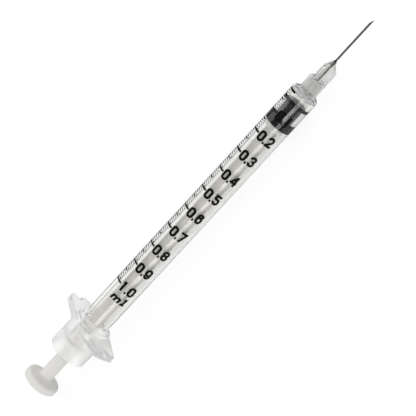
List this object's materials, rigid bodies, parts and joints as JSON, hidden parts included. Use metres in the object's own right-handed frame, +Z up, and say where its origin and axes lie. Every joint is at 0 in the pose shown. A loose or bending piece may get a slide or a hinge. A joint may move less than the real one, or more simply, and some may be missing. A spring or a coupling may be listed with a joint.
{
  "type": "tuberculin syringe",
  "caption": "Slim 1 ml syringe lying on its finger flange: clear graduated barrel, sliding plunger with rubber piston, and a fine needle on a push-on hub.",
  "frame": {"origin": "centre of the bounding box, on the table under the lying syringe", "axes": "+X along the syringe towards the needle, +Z up from the table; the axis dips 1.15 degrees to the needle and the flange is rolled 12.5 degrees onto a wing's long edge"},
  "size_m": [0.1112, 0.0202, 0.0095],
  "materials": {
    "clear_plastic": "clear moulded plastic, milky where it is thick",
    "rod_plastic": "translucent white moulded plastic",
    "hub_plastic": "translucent moulded plastic",
    "black_rubber": "smooth, lubricated",
    "needle_steel": "drawn stainless tube",
    "adhesive": "dark cured adhesive",
    "scale_ink": "black printed ink"
  },
  "bodies": {
    "barrel": {"barrel": "clear_plastic"},
    "piston": {"piston": "black_rubber"},
    "rod": {"plunger_rod": "rod_plastic"},
    "needle": {"needle_hub": "hub_plastic", "cannula": "needle_steel", "needle_adhesive": "adhesive"}
  },
  "joints": [
    {"name": "plunger_slide", "type": "slide", "parent": "barrel", "child": "piston", "axis": [0.9998, 0, -0.0205], "range_m": [-0.05755, 0.00155]},
    {"name": "rod_twist", "type": "hinge", "parent": "piston", "child": "rod", "pos_m": [-0.03616, 0, 0.00469], "axis": [0.9998, 0, -0.0205], "continuous": true},
    {"name": "hub_pull", "type": "slide", "parent": "barrel", "child": "needle", "axis": [0.9998, 0, -0.0205], "range_m": [0, 0.0045]}
  ]
}
